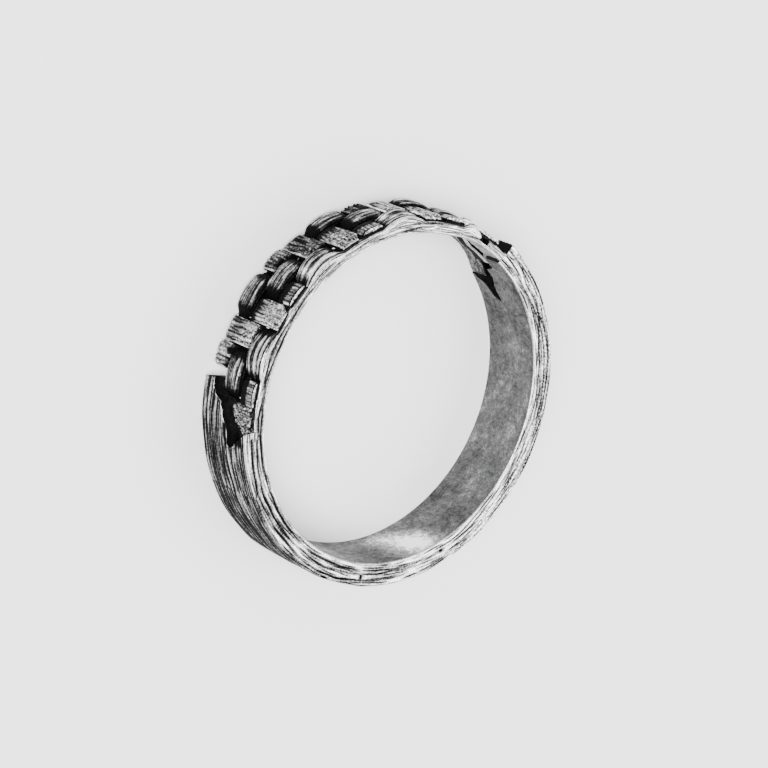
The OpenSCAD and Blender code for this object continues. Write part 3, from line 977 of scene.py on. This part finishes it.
def buildCrossStrip(k):
    s = stripSizes
    across, up, cut = stripSection()
    width = ring["width"]
    over = [crossIsOver(k, c) for c in range(3)]
    farBends = over[1] and over[2]
    nearBends = over[0] and over[1]
    nearTab, farTab, fringed = k % 4 == 0, k % 4 == 1, k == s["fringedStrip"]
    start = s["endInset"] + (columnWidth if k == 0 else 0)
    stop = width - s["endInset"] if over[0] else railZ - weave["clearance"]
    z = np.linspace(start, stop, s["crossRings"])
    if nearTab:
        z = np.union1d(z, np.linspace(*s["tabRings"]))
    diveLength = columnWidth / 2 - strandWaist - weave["clearance"]
    state = crossState(k, z, diveLength)
    browState = crossState(k, z, 2 * diveLength)
    dip = s["dipLength"]
    farSag = 1 - ramp(z, -dip / 2, dip) if farBends else 0 * z
    nearSag = ramp(z, width - dip, width + dip / 2) if nearBends else 0 * z
    farFloor = 1 - ramp(z, -dip, diveLength) if farBends else 0
    low = mix(underFloor, overFloor, state) - s["farDip"] * farFloor
    high = mix(underTop, overTop, browState) - s["farDip"] * farSag - s["nearDip"] * nearSag
    halfWidth = weave["crossWidth"] / 2
    halfLow, halfHigh = (mix(mix(crossWaist, pitch / 2 - 0.01, flare(gap, z)), halfWidth, browState)[:, None]
                         for gap in (k + 0.5, k - 0.5))
    if k % 4 == 3:
        halfLow = halfLow - s["cornerCut"] * ramp(z, 3.35, 4.1)[:, None]  # a corner cut at the near end
    half = np.where(across[None] > 0, halfHigh, halfLow)
    seed = 200 + 10 * k
    if farTab:
        lines = makeLines(seed, evenPlaces(seed + 1, 6, -halfWidth, halfWidth, 0.15), "farTab")
    else:
        lines = makeLines(seed, evenPlaces(seed + 1, s["crossGrooves"], -halfWidth, halfWidth, 0.3), "cross")
        lines += makeLines(seed + 2, evenPlaces(seed + 3, 6, -halfWidth, halfWidth, 0.4), "crossFine")
    # Near the near ends the grooves give way to a grainy surface. Far tabs are grainy all over.
    grainFrom = s["grainFrom"][k % 4]
    ragged = z[:, None] + 0.12 * makeRough(seed + 5, 0.5)(across[None] * halfWidth, 0 * z[:, None])
    grain = (0.3 if farTab else 0.5) * ramp(ragged, grainFrom - 0.3, grainFrom + 0.3) * cut[None]
    groove = carve(z[:, None], across[None] * halfWidth, lines) * cut[None] * (1 - 0.6 * grain)
    groove = groove * (0.6 if nearTab else 1)
    depth = s["crossGrooveDepth"] * (0.4 + 0.6 * browState[:, None])
    r = mix(low[:, None], high[:, None], up[None]) - depth * groove
    if fringed:
        # One far end is frayed to a dark saw-toothed fringe.
        r = r - s["fringeDepth"] * groove * (1 - ramp(z, 0.25, 0.7))[:, None]
    teeth = (0.22 if farTab else 0.06) * (1 - ramp(z - start, 0, 0.5))[:, None]
    zs = z[:, None] + teeth * groove
    a = turnAngle(k) + np.degrees(across[None] * half / overTop)
    # Where the strip dives it is black, partly patina and partly painted shade, over more of its length at
    # the far ends than at the near.
    deep = 0 * z
    if not over[2]:
        overFrom = min((2 - c) * columnWidth for c in range(3) if over[c])
        deep = np.maximum(deep, 1 - ramp(z - overFrom, 0.3, 0.8))
    if not over[0]:
        overTo = max((3 - c) * columnWidth for c in range(3) if over[c])
        deep = np.maximum(deep, 1 - ramp(overTo - z, 0.0, 0.3))
    deep = (0.95 if k < s["brightFrom"] else 0.55) * deep[:, None] + 0 * r
    if nearTab:
        # The near tabs are black up to a saw-toothed line and again along their end.
        saw = np.abs((across[None] * 4.5 + 0.3) % 1.0 - 0.5) * (0.3 if k else 0.06)
        deep = np.maximum(deep, 1 - ramp(z[:, None] + saw, 3.36, 3.46))
        deep = deep + 0.8 * (z[:, None] > 3.9)
    # Partly patina and partly painted shade: far tabs turn black towards where they dive under the middle
    # strand.
    if farTab and k < s["brightFrom"]:
        deep = np.maximum(deep, ramp(ragged, 0.8, 1.35))
    tone = np.interp(k, s["toneStrips"], s["tones"]) + 0.05 * nearTab + 0.4 * fringed
    # Painted highlight: each strip is lighter along its long edge on the side of larger angles.
    tone = tone + 0.1 * grain - 0.2 * ramp(across, 0.8, 0.9)[None]
    deep = deep + tone * (1 - np.clip(deep, 0, 1))
    marks = {"groove": groove, "low": darkenSides(deep, up), "grain": grain}
    # Painted shade: each end's ring is black along its lower part.
    ends = (0.4 if over[2] else 1.0, 0.1 if over[0] else 1.0)
    sweepStrip(f"crossStrip{k + 1}", ringPoints(a + 0 * r, zs + 0 * r, r), marks, crossSilver,
               f"cross_strip_{k + 1}", capLow=ends, capEdgeShade=1.0 - ramp(up, 0.3, 0.6))


for k in range(weave["count"]):
    buildCrossStrip(k)
print("cross strips made")


# Broken strip: a short granular stump beside the tear

brokenSizes = {
    "rows": 40,
    "columns": 36,
    # share of the rail's width, then shares of the pitch at its two edges, then of the thickness
    "stump": [(-0.62, 0.05, 0.2, 0.4), (-0.5, 0.03, 0.6, 0.8), (-0.1, 0.0, 0.95, 0.7), (0.4, 0.02, 1.12, 0.9),
              (0.96, 0.0, 0.95, 0.6)],
}


def buildBroken():
    table = np.array(brokenSizes["stump"])
    start = turnAngle(-stripEdge - 0.02)
    share = np.linspace(table[0, 0], table[-1, 0], brokenSizes["rows"])
    right, left, thick = (np.interp(share, table[:, 0], table[:, i]) for i in (1, 2, 3))
    z = railZ + share * ring["railWidth"]
    floor = overFloor + weave["clearance"]
    t = np.linspace(0, 1, brokenSizes["columns"])
    rough, fine = makeRough(71, 0.35), makeRough(72, 0.14)
    a = start + pitchAngle * mix(right[:, None], left[:, None], t[None])
    zz = z[:, None] + 0 * a
    lift = 0.03 * rough(a * degreeLength, zz) + 0.03 * fine(a * degreeLength, zz)
    height = np.clip(thick[:, None] * weave["topThick"] * (1.15 - 0.45 * t[None]) + lift, 0.06, 0.55)
    edge = np.minimum(np.minimum(t, 1 - t) * 10, 1)[None]
    top = floor + height * (0.5 + 0.5 * edge)
    bottom = np.full(a.shape, floor)
    shake = 0.35 * makeRough(73, 0.3)(zz, 0 * zz)
    a = a + shake * t[None] ** 3
    section = ringPoints(np.concatenate([a, a[:, ::-1]], 1), np.concatenate([zz, zz], 1),
                         np.concatenate([top, bottom], 1))
    groove = np.clip(0.3 - 4 * np.concatenate([lift, lift[:, ::-1]], 1), 0, 1)
    groove[:, len(t):] = 1
    marks = {"groove": groove, "low": 0 * groove, "grain": 0.7 + 0 * groove}
    sweepStrip("brokenStrip", section, marks, brokenSilver, "broken_strip", 70)


buildBroken()
print("broken strip made")


# Stage

stage = {
    "floorSize": 1.2,
    "floorColour": (0.92, 0.92, 0.92),
    "sky": 1.2,
    # place, size and power
    "lights": {"keyLight": ((-0.27, 0.3, 0.44), 0.5, 3.4), "topLight": ((0.3, -0.2, 0.5), 0.4, 9.0)},
}


def buildFloor():
    bpy.ops.mesh.primitive_plane_add(size=stage["floorSize"], location=(0, 0, -0.00002))
    floor = bpy.context.object
    floor.name = "paleFloor"
    material = bpy.data.materials.new("paleFloor")
    material.use_nodes = True
    shader = material.node_tree.nodes["Principled BSDF"]
    shader.inputs["Base Color"].default_value = (*stage["floorColour"], 1)
    shader.inputs["Roughness"].default_value = 0.85
    floor.data.materials.append(material)


def addLight(name, place, size, power):
    # A round soft light that faces the ring
    light = bpy.data.lights.new(name, "AREA")
    light.shape = "DISK"
    light.size = size
    light.energy = power
    lamp = bpy.data.objects.new(name, light)
    lamp.location = place
    lamp.rotation_euler = (-Vector(place)).to_track_quat("-Z", "Y").to_euler()
    bpy.context.scene.collection.objects.link(lamp)


buildFloor()
for lightName, values in stage["lights"].items():
    addLight(lightName, *values)
world = bpy.data.worlds.new("studio")
bpy.context.scene.world = world
world.use_nodes = True
world.node_tree.nodes["Background"].inputs[0].default_value = (1, 1, 1, 1)
world.node_tree.nodes["Background"].inputs[1].default_value = stage["sky"]

# The photograph's view: place in mm, and the camera's right, up and back directions
view = {
    "place": (68.23, -74.80, 115.37),
    "right": (-0.750686, 0.244241, 0.613854),
    "up": (-0.483092, -0.836740, -0.257853),
    "back": (0.450658, -0.490116, 0.746120),
    "lens": 127.04,
}
lens = bpy.data.cameras.new("camera")
lens.lens = view["lens"]
lens.sensor_width = 36
lens.clip_start = 0.005
camera = bpy.data.objects.new("camera", lens)
bpy.context.scene.collection.objects.link(camera)
axes = Matrix([view["right"], view["up"], view["back"]]).transposed().to_4x4()
camera.matrix_world = Matrix.Translation(Vector(view["place"]) * mm) @ axes
bpy.context.scene.camera = camera
print("stage made")
